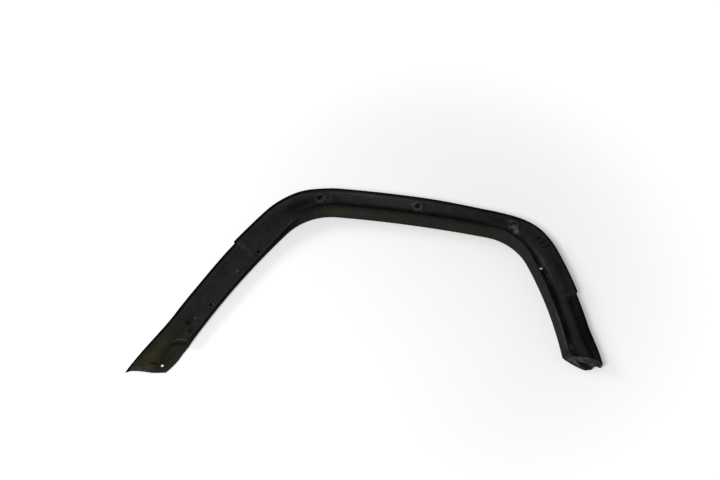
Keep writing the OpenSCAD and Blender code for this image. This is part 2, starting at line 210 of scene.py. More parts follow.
def reach(station):
    return JOGGLE_REACH * proud(station) + along(station, [
        (-TAIL_LENGTH, TAIL_REACH),
        (0.88 * TAIL_FADE, LEG_REACH),
        (140, LEG_REACH),
        (SILL_JOGGLE, LEG_REACH + 2.5),
        (SILL_CORNER_START + 55, LEG_REACH + 2),
        (TOP_START - 18, TOP_REACH),
        (mix(TOP_START, TOP_END, 0.55), TOP_REACH),
        (TOP_END + 6, TOP_REACH - 4),
        (TOP_END + 78, CORNER_REACH),
        (BUMPER_JOGGLE + 66, CORNER_REACH - 1.5),
        (FOOT_END, FOOT_REACH),
    ])


def edge_top(station):
    return JOGGLE_HEIGHT * proud(station) + along(station, [
        (-TAIL_LENGTH, TAIL_EDGE_HEIGHT),
        (TAIL_FADE, EDGE_HEIGHT - 2),
        (TOP_START, EDGE_HEIGHT),
        (FOOT_END, EDGE_HEIGHT - 2),
    ])


def lip_rise(station):
    return along(station, [(-TAIL_LENGTH, 0.4), (TAIL_FADE / 2, LIP_HEIGHT)])


def crown_bend(station):
    return along(station, [(FLANGE_START - 1, TAIL_RADIUS), (FLANGE_START + 14, CROWN_RADIUS)])


def flange_height(station):
    return along(station, [
        (FLANGE_START - 1, WALL + FLUSH),
        (FLANGE_START + 9, FLANGE_SILL_HEIGHT),
        (0.75 * SILL_CORNER_START, FLANGE_SILL_HEIGHT + 2),
        (TOP_START + 10, FLANGE_TOP_HEIGHT),
        (TOP_END, FLANGE_TOP_HEIGHT),
        (BUMPER_CORNER_END, FLANGE_BUMPER_HEIGHT),
        (FOOT_END - 6, FLANGE_BUMPER_HEIGHT),
        (FOOT_END, END_WALL_HEIGHT),
    ])


def lean(station):
    return along(station, [(SILL_CORNER_START, 0), (TOP_START, FLANGE_LEAN)])


# The inner edge: a small step and a cut corner at the tail, a rounded corner at the foot
TAIL_STEP = 1.4
TAIL_STEP_RUN = 22.0
TAIL_START = 6.0
TAIL_CORNER_POWER = 1.8
FOOT_RUN = 28.0
FOOT_SQUARENESS = 1.2


def foot_corner(station, height):
    past = clamp((station - FOOT_END + FOOT_RUN) / FOOT_RUN)
    if past <= 0:
        return 0.0
    cut = FOOT_RADIUS * clamp((END_WALL_HEIGHT + 1 - height) / (END_WALL_HEIGHT + 1 - CROWN_RADIUS))
    return cut * (1 - (1 - past ** FOOT_SQUARENESS) ** (1 / FOOT_SQUARENESS))


def inner_edge(station, height=0.0):
    tail = clamp((TAIL_START - station) / (TAIL_START + TAIL_LENGTH))
    return (TAIL_STEP * ease((FLANGE_START + TAIL_START - station) / TAIL_STEP_RUN)
            + (TAIL_CORNER - TAIL_STEP) * tail ** TAIL_CORNER_POWER
            + foot_corner(station, height))


def foot_slope(station, height):
    return min(2.0, max(0.0, foot_corner(station + 0.5, height) - foot_corner(station - 0.5, height)))


def lift(station):
    return LEG_BOW * math.sin(math.pi * clamp(station / SILL_CORNER_START)) ** 2


# The show face: share is 0 at the crown and 1 at the outer edge
def riser(station):
    return along(station, [(SILL_CORNER_START + 12, 0), (TOP_START - 25, 1)])


def ridge_shift(station):
    return along(station, [
        (TOP_END - 10, 0),
        (TOP_END + 55, 0.04),
        (TOP_END + 90, -0.06),
        (BUMPER_CORNER_END + 24, 0.01),
        (BUMPER_JOGGLE - 30, 0.01),
        (BUMPER_JOGGLE + 12, -0.02),
        (FOOT_END - 60, -0.02),
        (FOOT_END - 30, 0.04),
    ])


def face_start(station):
    return inner_edge(station) + crown_bend(station)


def valley(station):
    depth = along(station, [(TOP_END + 50, 0), (BUMPER_CORNER_END + 20, UPPER_VALLEY)])
    fall = ease((station - BUMPER_JOGGLE + JOGGLE_LENGTH / 2) / VALLEY_FALL)
    return (clamp((reach(station) - face_start(station)) / FULL_WIDTH)
            * (depth + (LOWER_VALLEY - UPPER_VALLEY) * fall))


def face_height(station, share):
    """Height of the show face: a bulge on the long leg, then a riser, and later a valley too."""
    rise = edge_top(station) - JOGGLE_HEIGHT * proud(station) - lip_rise(station) - LIP_ROOT * WALL
    full = max(0.0, share)
    moved = share - ridge_shift(station)
    plain = full ** FACE_BULGE
    step = ease((moved - RISER[0]) / (RISER[1] - RISER[0]))
    stepped = RISER_SHARE * step + (1 - RISER_SHARE) * full ** STEPPED_BULGE
    drop = ease((moved - VALLEY[0]) / (VALLEY[1] - VALLEY[0]))
    return (rise * mix(plain, stepped, riser(station))
            - valley(station) * drop
            + JOGGLE_HEIGHT * proud(station) * ease((share - JOGGLE[0]) / (JOGGLE[1] - JOGGLE[0])))


def face_share(station, out):
    return (out - face_start(station)) / (reach(station) - face_start(station))


def face_slope(station, share, step=0.02):
    low = max(0.0, share - step)
    width = (share + step - low) * (reach(station) - face_start(station))
    return (face_height(station, share + step) - face_height(station, low)) / width


def back_height(station, share):
    return face_height(station, share) + WALL * math.sqrt(1 + face_slope(station, share) ** 2)


def root_height(station, out):
    """Height of the middle of the wall, where what stands on it is rooted."""
    share = face_share(station, out)
    return (face_height(station, share) + back_height(station, share)) / 2


# A place in space, from its station, reach and height
HOLLOW_RUN = 5.0
HOLLOW_RISE = (0.34, 0.46)
HOLLOW_FALL = (0.9, 0.12)
HOLLOW_FALL_SHARE = 0.8
LEAN_BACK_LENGTH = 60.0


def hollow(station, out):
    """How far the end of the tail is drawn in, so that its edge curves."""
    t = out / TAIL_REACH
    return (TAIL_HOLLOW
            * ease((-HOLLOW_RUN - station) / (TAIL_LENGTH - HOLLOW_RUN))
            * (ease((t - HOLLOW_RISE[0]) / HOLLOW_RISE[1])
               - HOLLOW_FALL_SHARE * ease((t - HOLLOW_FALL[0]) / HOLLOW_FALL[1])))


def site(station, out, height):
    """A point square to the crown line, lifted by the leg's bow."""
    x, y, heading = crown(station)
    a = math.radians(heading)
    return x - out * math.sin(a), y + out * math.cos(a), height + lift(station)


def place(station, out, height):
    """A point of the moulding, with the tail's skew and the foot's slope."""
    skew = TAIL_SKEW * ease((TAIL_FADE - station) / (TAIL_FADE + TAIL_LENGTH))
    slope = (END_WALL_SLOPE * clamp(1 - out / FOOT_REACH)
             * ease((station - FOOT_END + LEAN_BACK_LENGTH) / LEAN_BACK_LENGTH))
    x, y, _ = site(station + hollow(station, out) - skew * out - slope * height, out, height)
    return x, y, height + lift(station)


# A fine section: pairs of show and back points, with every edge rounded
EDGE_ROUND = 0.8
LIP_ROUND = 0.7
CORNER_ROUND = 1.2
FOOT_ROUND = 1.6
SMALLEST_FILLET = 0.6
LARGEST_ROUND_SHARE = 0.45
ROUND_STEPS = 3
FLANGE_ROWS = 5
BEND_ROWS = 8
FACE_ROWS = 40
LIP_ROWS = 2


def curve_corner(before, corner, after, radius, steps=ROUND_STEPS):
    """Points of a rounded corner between two directions, by a quadratic curve."""
    def toward(point):
        d = (point[0] - corner[0], point[1] - corner[1])
        run = math.hypot(*d) or 1.0
        size = min(radius, LARGEST_ROUND_SHARE * run)
        return corner[0] + d[0] / run * size, corner[1] + d[1] / run * size
    a, b = toward(before), toward(after)
    points = []
    for i in range(steps + 1):
        t = i / steps
        points.append(tuple(
            (1 - t) ** 2 * a[k] + 2 * t * (1 - t) * corner[k] + t * t * b[k] for k in (0, 1)))
    return points


def rows_between(start, end, count):
    """Evenly spaced pairs between two pairs of points, without those two."""
    rows = []
    for i in range(1, count):
        t = i / count
        rows.append(tuple((mix(a[0], b[0], t), mix(a[1], b[1], t)) for a, b in zip(start, end)))
    return rows


def back_fillet(station):
    return max(crown_bend(station) - WALL, SMALLEST_FILLET)


def flange_wall(station, height):
    """Thickness of the flange across the section, more where the foot's corner turns it."""
    return FLANGE_WALL * math.sqrt(1 + foot_slope(station, height) ** 2)


def flange_pairs(station):
    """The flange, from its rounded top edge down to the crown."""
    bend = crown_bend(station)
    edge = inner_edge(station)
    top = flange_height(station)
    top_edge = inner_edge(station, top) + lean(station) * (top - bend)
    show_foot = (edge, bend)
    back_foot = (edge + flange_wall(station, 0), WALL + back_fillet(station))
    show_top = (top_edge, top)
    back_top = (top_edge + flange_wall(station, top), top)
    middle_top = ((top_edge + back_top[0]) / 2, top)
    pairs = list(zip(
        curve_corner(middle_top, show_top, show_foot, EDGE_ROUND),
        curve_corner(middle_top, back_top, back_foot, EDGE_ROUND)))
    return pairs + rows_between(pairs[-1], (show_foot, back_foot), FLANGE_ROWS)


def crown_pairs(station):
    """The rounded crown, a quarter turn from the flange to the face."""
    bend = crown_bend(station)
    fillet = back_fillet(station)
    edge = inner_edge(station)
    foot_wall = flange_wall(station, 0)
    pairs = []
    for i in range(BEND_ROWS + 1):
        a = math.pi / 2 * i / BEND_ROWS
        wall = mix(foot_wall, FLANGE_WALL, i / BEND_ROWS)
        pairs.append((
            (edge + bend * (1 - math.cos(a)), bend * (1 - math.sin(a))),
            (edge + wall + fillet * (1 - math.cos(a)), WALL + fillet * (1 - math.sin(a)))))
    return pairs


def face_pairs(station):
    """The face, from the crown to near the outer lip."""
    last = reach(station) - 1.5 * LIP_WALL
    pairs = []
    for i in range(1, FACE_ROWS + 1):
        out = mix(face_start(station), last, i / FACE_ROWS)
        share = face_share(station, out)
        pairs.append(((out, face_height(station, share)), (out, back_height(station, share))))
    return pairs


def lip_pairs(station, before):
    """The outer lip, with its low corners and its rounded rim."""
    outer = reach(station)
    inner = outer - LIP_WALL
    rim = edge_top(station)
    show_low = (outer, face_height(station, 1))
    back_low = (inner, back_height(station, face_share(station, inner)))
    show_rim = (outer, rim)
    back_rim = (inner, rim)
    middle_rim = (outer - LIP_WALL / 2, rim)
    low_pairs = list(zip(
        curve_corner(before[0], show_low, show_rim, CORNER_ROUND),
        curve_corner(before[1], back_low, back_rim, FOOT_ROUND)))
    rim_pairs = list(zip(
        curve_corner(show_low, show_rim, middle_rim, LIP_ROUND),
        curve_corner(back_low, back_rim, middle_rim, LIP_ROUND)))
    return low_pairs + rows_between(low_pairs[-1], rim_pairs[0], LIP_ROWS) + rim_pairs


def section(station):
    """Pairs of show and back points, from the top of the flange to the rim of the lip."""
    pairs = flange_pairs(station) + crown_pairs(station) + face_pairs(station)
    return pairs + lip_pairs(station, pairs[-1])


# The rings along the arch, close together where the section changes fast
TAIL_CAP = (0.0, 0.25, 0.8)
FOOT_CAP = (0.6, 0.2, 0.0)
FOOT_GAP = 0.7
FOOT_STEPS = 18
END_PINCH = {0: 0.5, 1: 0.2}


def spread(start, end, step):
    n = max(1, math.ceil((end - start) / step))
    return [mix(start, end, i / n) for i in range(n)]


def fine_stations():
    half = JOGGLE_LENGTH / 2
    runs = [
        # start, step
        (-TAIL_LENGTH + TAIL_CAP[-1], 3),
        (FLANGE_START - 2, 1.2),
        (FLANGE_START + 15, 7),
        (SILL_JOGGLE - half - 1, 0.6),
        (SILL_JOGGLE + half + 1, 6),
        (SILL_CORNER_START, 3.5),
        (TOP_START, 6),
        (TOP_END, 3),
        (BUMPER_CORNER_END, 4),
        (BUMPER_JOGGLE - half - 1, 0.6),
        (BUMPER_JOGGLE + half + 1, 1.2),
        (BUMPER_JOGGLE + VALLEY_FALL, 4),
        (FOOT_END - FOOT_RUN, None),
    ]
    body = []
    for (start, step), (end, _) in zip(runs, runs[1:]):
        body += spread(start, end, step)
    foot = [FOOT_END - FOOT_RUN * (1 - math.sin(math.pi / 2 * i / FOOT_STEPS)) for i in range(FOOT_STEPS)]
    foot = [station for station in foot if station < FOOT_END - FOOT_GAP]
    return ([-TAIL_LENGTH + gap for gap in TAIL_CAP] + body[1:]
            + foot + [FOOT_END - gap for gap in FOOT_CAP])


def pinch(pairs, share):
    """Draws each pair of points together, to round the ends of the moulding."""
    return [tuple(
        tuple(mix(p[k], (show[k] + back[k]) / 2, share) for k in (0, 1)) for p in (show, back))
        for show, back in pairs]


def make_rings():
    """Rings of the shell: along the show side, and back along the other."""
    stations = fine_stations()
    ring_list = []
    for index, station in enumerate(stations):
        pairs = section(station)
        amount = END_PINCH.get(min(index, len(stations) - 1 - index))
        if amount:
            pairs = pinch(pairs, amount)
        ring_list.append([place(station, *show) for show, _ in pairs]
                         + [place(station, *back) for _, back in reversed(pairs)])
    return ring_list


# The CAD box fixes where the moulding stands in the frame
rings = make_rings()
cad_low, cad_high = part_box("flare_moulding")
START_X = cad_low[0] / MM - min(p[0] for ring in rings for p in ring)
START_Y = cad_high[1] / MM - max(p[1] for ring in rings for p in ring)


def world(p):
    return Vector(((p[0] + START_X) * MM, (p[1] + START_Y) * MM, p[2] * MM))


def spot(station, out):
    return place(station, out, 0.0)


def turned(point, angle):
    c, s = math.cos(angle), math.sin(angle)
    return c * point[0] - s * point[1], s * point[0] + c * point[1]


# Mesh makers
SHOULDER = 0.25


def add_skin(bm, ring_list):
    """Joins rings of equal count into a closed skin. The ring's halves face each other."""
    n = len(ring_list[0])
    half = n // 2
    rows = [[bm.verts.new(world(p)) for p in ring] for ring in ring_list]
    for low, high in zip(rows, rows[1:]):
        for i in range(n):
            j = (i + 1) % n
            if i < half:
                faces = ((low[i], low[j], high[j]), (low[i], high[j], high[i]))
            else:
                faces = ((low[i], low[j], high[i]), (high[i], low[j], high[j]))
            for face in faces:
                bm.faces.new(face)
    for row, reverse in ((rows[0], True), (rows[-1], False)):
        for i in range(half - 1):
            quad = [row[i], row[i + 1], row[n - 2 - i], row[n - 1 - i]]
            bm.faces.new(quad[::-1] if reverse else quad)


def add_tube(bm, ring_list):
    """A closed solid from rings, capped by one face at each end."""
    n = len(ring_list[0])
    rows = [[bm.verts.new(world(p)) for p in ring] for ring in ring_list]
    for low, high in zip(rows, rows[1:]):
        for i in range(n):
            j = (i + 1) % n
            bm.faces.new((low[i], low[j], high[j], high[i]))
    bm.faces.new(rows[0][::-1])
    bm.faces.new(rows[-1])


def add_lathe(bm, centre, profile, steps, heading=0.0, foot=None):
    """A turned solid. The profile runs from the axis outward and back to the axis, in
    millimetres. A foot function gives the height of the points marked with None."""
    rows = []
    for radius, height in profile:
        if radius == 0:
            rows.append([bm.verts.new(world((centre[0], centre[1], height)))])
            continue
        row = []
        for k in range(steps):
            a = 2 * math.pi * k / steps
            local = (radius * math.cos(a), radius * math.sin(a))
            dx, dy = turned(local, heading)
            z = foot(local) if height is None else height
            row.append(bm.verts.new(world((centre[0] + dx, centre[1] + dy, z))))
        rows.append(row)
    for low, high in zip(rows, rows[1:]):
        for k in range(steps):
            j = (k + 1) % steps
            if len(low) == 1:
                bm.faces.new((low[0], high[j], high[k]))
            elif len(high) == 1:
                bm.faces.new((low[k], low[j], high[0]))
            else:
                bm.faces.new((low[k], low[j], high[j], high[k]))


def add_slot(bm, at, length, width, low, high, turn, steps=12):
    """A round-ended slot cutter."""
    cx, cy, _ = spot(*at)
    outline = []
    for side, start in ((1, -90), (-1, 90)):
        for k in range(steps + 1):
            a = math.radians(start + 180 * k / steps)
            outline.append((side * (length - width) / 2 + width / 2 * math.cos(a), width / 2 * math.sin(a)))
    outline = [turned(point, turn) for point in outline]
    floor, roof = ([bm.verts.new(world((cx + dx, cy + dy, z))) for dx, dy in outline] for z in (low, high))
    bm.faces.new(floor[::-1])
    bm.faces.new(roof)
    n = len(outline)
    for k in range(n):
        j = (k + 1) % n
        bm.faces.new((floor[k], floor[j], roof[j], roof[k]))


def to_object(bm, name):
    bmesh.ops.recalc_face_normals(bm, faces=bm.faces)
    mesh = bpy.data.meshes.new(name)
    bm.to_mesh(mesh)
    bm.free()
    obj = bpy.data.objects.new(name, mesh)
    bpy.context.scene.collection.objects.link(obj)
    return obj


def cut_away(target, tool):
    """Takes the tool's volume out of the target and removes the tool."""
    step = target.modifiers.new("cut", "BOOLEAN")
    step.operation = "DIFFERENCE"
    step.solver = "EXACT"
    step.object = tool
    view = bpy.context.evaluated_depsgraph_get()
    mesh = bpy.data.meshes.new_from_object(target.evaluated_get(view))
    target.modifiers.clear()
    old = target.data
    target.data = mesh
    bpy.data.meshes.remove(old)
    bpy.data.objects.remove(tool)


# Where the features are, as station and reach, and their sizes
TOP_BOSSES = [
    (mix(SILL_CORNER_START, TOP_START, 0.745), 41.0),
    (mix(TOP_START, TOP_END, 0.521), 40.5),
    (mix(TOP_END, BUMPER_CORNER_END, 0.34), 43.0),
]
LEG_BOSSES = [(0.368 * SILL_CORNER_START, 15.0), (SILL_JOGGLE + 21.5, 15.2)]
BOSSES = ([(at, TOP_BOSS_HOLE, TOP_BOSS_WALL, TOP_BOSS_HEIGHT) for at in TOP_BOSSES]
          + [(at, LEG_BOSS_HOLE, LEG_BOSS_WALL, LEG_BOSS_HEIGHT) for at in LEG_BOSSES])
BOSS_STEPS = 64
BOSS_TOP_ROUND = 0.8
BOSS_MOUTH = [(0.0, 0.6), (0.35, 0.1), (0.8, 0.0)]
DRAIN_RADIUS = 2.2
THROUGH_HOLES = [
    ((-11.5, 23.2), SCREW_HOLE_RADIUS),
    ((BUMPER_CORNER_END + 15.5, 25.4), SCREW_HOLE_RADIUS),
    ((mix(TOP_END, BUMPER_CORNER_END, 0.395), 38.0), DRAIN_RADIUS),
]
HOLE_STEPS = 40
HOLE_FLOOR = 1.6
CUT_FLOOR = -5.0
CUT_ROOF = 60.0
DIMPLES = [(FLANGE_START + 42, 29.0), (FLANGE_START + 32.5, 17.5)]
DIMPLE_RADIUS = 4.0
DIMPLE_DEPTH = 1.3
DIMPLE_BOWL = [(0.0, 1.0), (0.7, 0.85), (0.95, 0.4)]
DIMPLE_MOUTH = 1.1
DIMPLE_ROOF = 40.0
TAIL_SLOT = (-8.5, 38.5)
TAIL_SLOT_TURN = 13.7
TAIL_SLOT_DEPTH = 1.5
TAIL_SLOT_CUT = 12.0
PIP = (FLANGE_START + 59, 23.5)
PIP_PROFILE = [(0, 9.0), (0.9, 8.85), (1.6, 8.4), (1.95, 7.6), (2.0, None), (1.0, None), (0, 5.5)]
PIP_STEPS = 32
PADS = [
    # place, radius
    ((mix(TOP_END, BUMPER_CORNER_END, 0.65), 45.0), 11.0),
    ((BUMPER_CORNER_END + 28.5, 31.0), 8.5),
]
PAD_RISE = 1.4
PAD_EDGE = [(0.8, 0.0), (0.25, 0.2), (0.0, 0.7)]
RIB_WALL = 2.0
RIB_STEPS = 10
RIB_CAP = 0.35
CORNER_RIBS = (0.71, 0.79, 0.87)
CORNER_RIB_REACH = 52.0
CORNER_RIB_LENGTH = 13.0
CORNER_RIB_HEIGHT = 26.0
CORNER_RIB_TURN = -12.0
TAIL_RIB = (-21.5, 44.0)
TAIL_RIB_RISE = 1.6
TAIL_RIB_LENGTH = 38.0
TAIL_RIB_TURN = 20.0


def local_heading(station):
    return math.radians(crown(station)[2] + 90)


def wall_foot(station, out):
    """Height of the middle of the wall at a point given from a feature's centre."""
    def height(local):
        at = station - local[1] / (1 + out / 1000)
        return root_height(at, max(out + local[0], 1.0)) + lift(at)
    return height


def wall_top(station, out):
    return back_height(station, face_share(station, out))


def hole_bottom(at, radius):
    """Height of a blind hole's floor, above the show face over its whole width."""
    tilt = abs(face_slope(at[0], face_share(*at)))
    return root_height(*at) + lift(at[0]) + HOLE_FLOOR - WALL / 2 + radius * tilt


# The shell with its holes
def hole_profile(radius, bottom):
    return [(0, bottom), (radius, bottom), (radius, CUT_ROOF), (0, CUT_ROOF)]


def dimple_profile(at):
    top = wall_top(*at) + lift(at[0])
    mouth = DIMPLE_MOUTH * DIMPLE_RADIUS
    bowl = [(width * DIMPLE_RADIUS, top - depth * DIMPLE_DEPTH) for width, depth in DIMPLE_BOWL]
    return bowl + [(mouth, top + 1), (mouth, DIMPLE_ROOF), (0, DIMPLE_ROOF)]


slot_turn = math.radians(crown(-TAIL_LENGTH)[2] + 90 + TAIL_SLOT_TURN)


def make_cutter():
    """All the holes, the dimples and the slot of the tail, as one tool."""
    bm = bmesh.new()
    for at, hole, _, _ in BOSSES:
        add_lathe(bm, spot(*at), hole_profile(hole, hole_bottom(at, hole)), HOLE_STEPS)
    for at, radius in THROUGH_HOLES:
        add_lathe(bm, spot(*at), hole_profile(radius, CUT_FLOOR), HOLE_STEPS)
    for at in DIMPLES:
        add_lathe(bm, spot(*at), dimple_profile(at), HOLE_STEPS)
    floor = wall_top(*TAIL_SLOT) - TAIL_SLOT_DEPTH
    add_slot(bm, TAIL_SLOT, TAIL_SLOT_LENGTH, TAIL_SLOT_WIDTH, floor, floor + TAIL_SLOT_CUT, slot_turn)
    return to_object(bm, "hole_cutter")


shell_mesh = bmesh.new()
add_skin(shell_mesh, rings)
shell = to_object(shell_mesh, "flare_shell")
cut_away(shell, make_cutter())


# What stands on the back of the wall
def add_boss(bm, at, hole, wall, height):
    outer = hole + wall
    bottom = hole_bottom(at, hole)
    profile = [(0, bottom - 0.01), (hole, bottom - 0.01)]
    profile += [(hole + across, height - down) for across, down in BOSS_MOUTH]
    profile += [
        (outer - BOSS_TOP_ROUND, height), (outer - SHOULDER, height - SHOULDER),
        (outer, height - BOSS_TOP_ROUND), (outer, None), (hole * 0.5, None), (0, bottom - 0.3),
    ]
    add_lathe(bm, spot(*at), profile, BOSS_STEPS, local_heading(at[0]), wall_foot(*at))


def add_pad(bm, at, radius):
    top = wall_top(*at) + PAD_RISE
    edge = [(radius - inward, top - down) for inward, down in PAD_EDGE]
    profile = [(0, top)] + edge + [(radius, None), (radius * 0.5, None), (0, root_height(*at))]
    add_lathe(bm, spot(*at), profile, BOSS_STEPS, local_heading(at[0]), wall_foot(*at))


def add_rib(bm, at, length, height, turn):
    """A rib with rounded top edges, rooted in the wall along its length."""
    cx, cy, _ = spot(*at)
    heading = local_heading(at[0])
    foot = wall_foot(*at)
    ring_list = []
    for i in range(RIB_STEPS + 1):
        x = mix(-length / 2, length / 2, i / RIB_STEPS)
        end = RIB_CAP if i in (0, RIB_STEPS) else 0.0
        half = RIB_WALL / 2 - end
        top = height - end
        ring = []
        for y, z in ((-half, top - 0.5), (-half + 0.4, top), (half - 0.4, top), (half, top - 0.5),
                     (half + 0.1, None), (-half - 0.1, None)):
            local = turned((x, y), math.radians(turn))
            dx, dy = turned(local, heading)
            ring.append((cx + dx, cy + dy, foot(local) if z is None else z))
        ring_list.append(ring)
    add_tube(bm, ring_list)


# The wall that closes the channel where the flange ends
CURL_STEPS = 40
CURL_START = FLANGE_START + 10.5
CURL_RUN = 9.0
CURL_HOOK = 4.0
CURL_HOOK_POWER = 1.5
CURL_FIRST = 3.2
CURL_WIDTH = 27.3
CURL_TOP = 18.0
CURL_END_TOP = 12.0
CURL_CAP = 0.6
CURL_LOOK = 0.02


def curl_at(t):
    """Station and reach of the curled wall, from the flange at 0 to its free end at 1."""
    hook = max(0.0, (t - 0.5) / 0.5) ** CURL_HOOK_POWER
    return CURL_START - CURL_RUN * t - CURL_HOOK * hook, CURL_FIRST + CURL_WIDTH * math.sin(math.pi / 2 * t)


def curl_ring(t):
    at = curl_at(t)
    before = curl_at(max(0.0, t - CURL_LOOK))
    after = curl_at(min(1.0, t + CURL_LOOK))
    run = math.hypot(after[0] - before[0], after[1] - before[1])
    across = ((after[1] - before[1]) / run, (before[0] - after[0]) / run)
    base = root_height(*at)
    top = mix(CURL_TOP, CURL_END_TOP, ease(t))
    half = FLANGE_WALL / 2
    end = CURL_CAP if t in (0.0, 1.0) else 0.0
    outline = (
        (half, base), (half - end, top - EDGE_ROUND), (half - SHOULDER - end, top - SHOULDER),
        (half - EDGE_ROUND, top), (-half + EDGE_ROUND, top), (-half + SHOULDER + end, top - SHOULDER),
        (-half + end, top - EDGE_ROUND), (-half, base),
    )
    return [place(at[0] + across[0] * side, at[1] + across[1] * side, z) for side, z in outline]


def make_features():
    """Bosses, pip, pads, ribs and the curled wall, as one object."""
    bm = bmesh.new()
    for boss in BOSSES:
        add_boss(bm, *boss)
    add_lathe(bm, spot(*PIP), PIP_PROFILE, PIP_STEPS, local_heading(PIP[0]), wall_foot(*PIP))
    for at, radius in PADS:
        add_pad(bm, at, radius)
    for t in CORNER_RIBS:
        at = (mix(TOP_END, BUMPER_CORNER_END, t), CORNER_RIB_REACH)
        add_rib(bm, at, CORNER_RIB_LENGTH, CORNER_RIB_HEIGHT, CORNER_RIB_TURN)
    add_rib(bm, TAIL_RIB, TAIL_RIB_LENGTH, wall_top(*TAIL_RIB) + TAIL_RIB_RISE, TAIL_RIB_TURN)
    add_tube(bm, [curl_ring(i / CURL_STEPS) for i in range(CURL_STEPS + 1)])
    return to_object(bm, "flare_features")


# The end wall of the foot, with its slot
END_STEPS = 48
END_ROWS = 8
END_CURVE = 2.2
END_INSET = 0.5
END_DRAFT = 0.08
END_START = 1.5
END_SLOT_MIDDLE = 51.0
END_SLOT_TURN = 16.0
END_SLOT_CUT = 14.0


def end_wall_line(out):
    return FOOT_END - 2 * END_LEDGE * (1 - (out / FOOT_REACH) ** END_CURVE)


def end_wall_points(out):
    """Station, draft and low height of the end wall at a reach, on its near and far sides."""
    points = []
    for inset in (END_INSET, END_INSET + WALL):
        station = end_wall_line(out) - inset
        floor_edge = inner_edge(station) + CROWN_RADIUS
        share = clamp(face_share(station, out))
        face = (face_height(station, share) + back_height(station, share)) / 2
        low = mix(face, END_WALL_HEIGHT - 2, max(0.0, (floor_edge - out) / floor_edge))
        draft = END_DRAFT * (END_WALL_HEIGHT - low)
        points.append((station, draft, low))
    return points


def end_wall_ring(out):
    (near_at, near_draft, near_low), (far_at, far_draft, far_low) = end_wall_points(out)
    top = END_WALL_HEIGHT
    ring = [
        site(far_at + far_draft, out, far_low),
        site(far_at, out, top - EDGE_ROUND),
        site(far_at + SHOULDER, out, top - SHOULDER),
        site(far_at + EDGE_ROUND, out, top),
        site(near_at - EDGE_ROUND, out, top),
        site(near_at - SHOULDER, out, top - SHOULDER),
        site(near_at, out, top - EDGE_ROUND),
    ]
    for row in range(1, END_ROWS + 1):
        height = mix(top - EDGE_ROUND, near_low, row / END_ROWS)
        ring.append(site(near_at + near_draft * row / END_ROWS, out, height))
    return ring


def make_end_wall():
    bm = bmesh.new()
    add_tube(bm, [end_wall_ring(mix(END_START, reach(FOOT_END) - 1, i / END_STEPS))
                  for i in range(END_STEPS + 1)])
    return to_object(bm, "flare_end_wall")


def make_slot_cutter():
    station = end_wall_line(END_SLOT_MIDDLE)
    x, y, _ = site(station, END_SLOT_MIDDLE, 0.0)
    z = wall_top(station, END_SLOT_MIDDLE) + END_SLOT_HEIGHT / 2 + 0.5
    bm = bmesh.new()
    bmesh.ops.create_cube(bm, size=1.0)
    matrix = (Matrix.Translation(world((x, y, z)))
              @ Matrix.Rotation(math.radians(crown(station)[2] + 90 - END_SLOT_TURN), 4, "Z")
              @ Matrix.Diagonal((END_SLOT_LENGTH * MM, END_SLOT_CUT * MM, END_SLOT_HEIGHT * MM, 1)))
    bmesh.ops.transform(bm, matrix=matrix, verts=bm.verts)
    return to_object(bm, "slot_cutter")


features = make_features()
end_wall = make_end_wall()
cut_away(shell, make_slot_cutter())
cut_away(end_wall, make_slot_cutter())

# One piece: the moulding
SHARP_ANGLE = 38
flare = shell
flare.name = "moulded_flare"
joined = bmesh.new()
for obj in (shell, features, end_wall):
    joined.from_mesh(obj.data)
joined.to_mesh(flare.data)
joined.free()
for obj in (features, end_wall):
    bpy.data.objects.remove(obj)
for polygon in flare.data.polygons:
    polygon.use_smooth = True
flare.data.set_sharp_from_angle(angle=math.radians(SHARP_ANGLE))

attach(flare, "root")
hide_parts("flare_moulding")

# What lies on the moulding and what is painted on it: tone lightens or darkens the plastic with painted light
# and shade as well as stains, earth turns it brown, dust is pale
# Soft spots of tone: painted shade in the bumper leg's valley and beside the first top boss, painted light in
# the shadowed channel of the bumper corner and leg, and stains
SHADE_LIGHT_AND_STAINS = [
    # station, reach, half length, half width, tone
    (410, 40, 26, 8, -1.9), (358, 40, 22, 8, -0.3), (469, 40, 9, 6, -0.7), (425, 19, 26, 6, -1.6),
    (820, 39, 22, 5, -0.7), (755, 37, 30, 6, -0.3), (866, 49, 18, 9, -0.4), (905, 57, 30, 8, -0.35),
    (950, 57, 40, 8, -0.5), (1012, 55, 12, 7, -0.6), (1050, 59, 38, 7, -1.0), (1095, 61, 38, 8, -1.3),
    (582, 42, 45, 10, 0.5), (625, 46, 15, 8, 0.5), (530, 52, 45, 5, 0.6), (722, 47, 20, 6, 0.2),
    (-5, 24, 16, 11, -0.9), (18, 17, 12, 8, -0.4), (11, 51, 18, 8, 0.5), (-33, 45, 9, 12, 0.6),
    (-38, 70, 10, 8, 0.5), (250, 12, 42, 6, -0.5), (342, 13, 20, 4, 0.3), (1108, 21, 22, 9, 1.4),
    (918, 29, 42, 6, 1.3), (1000, 33, 70, 4, 0.4), (57, 9, 9, 4, 0.5), (295, 26, 9, 5, -0.3),
    (895, 52, 16, 8, 0.5), (20, 34, 18, 6, -0.6), (70, 33, 26, 6, -0.4), (945, 27, 30, 6, 1.3),
    (-20, 56, 6, 22, 0.6), (800, 48, 40, 12, -0.35), (1040, 24, 40, 5, 1.1),
]
EARTH = [
    # station, reach, half length, half width, amount
    (0, 40, 52, 60, 0.9), (70, 20, 30, 20, 0.35), (470, 2, 50, 12, 0.8), (600, 2, 60, 10, 0.45),
    (760, 2, 70, 12, 0.55), (640, 30, 120, 8, 0.3), (445, 20, 25, 12, 0.5), (1128, 66, 14, 8, 0.4),
]
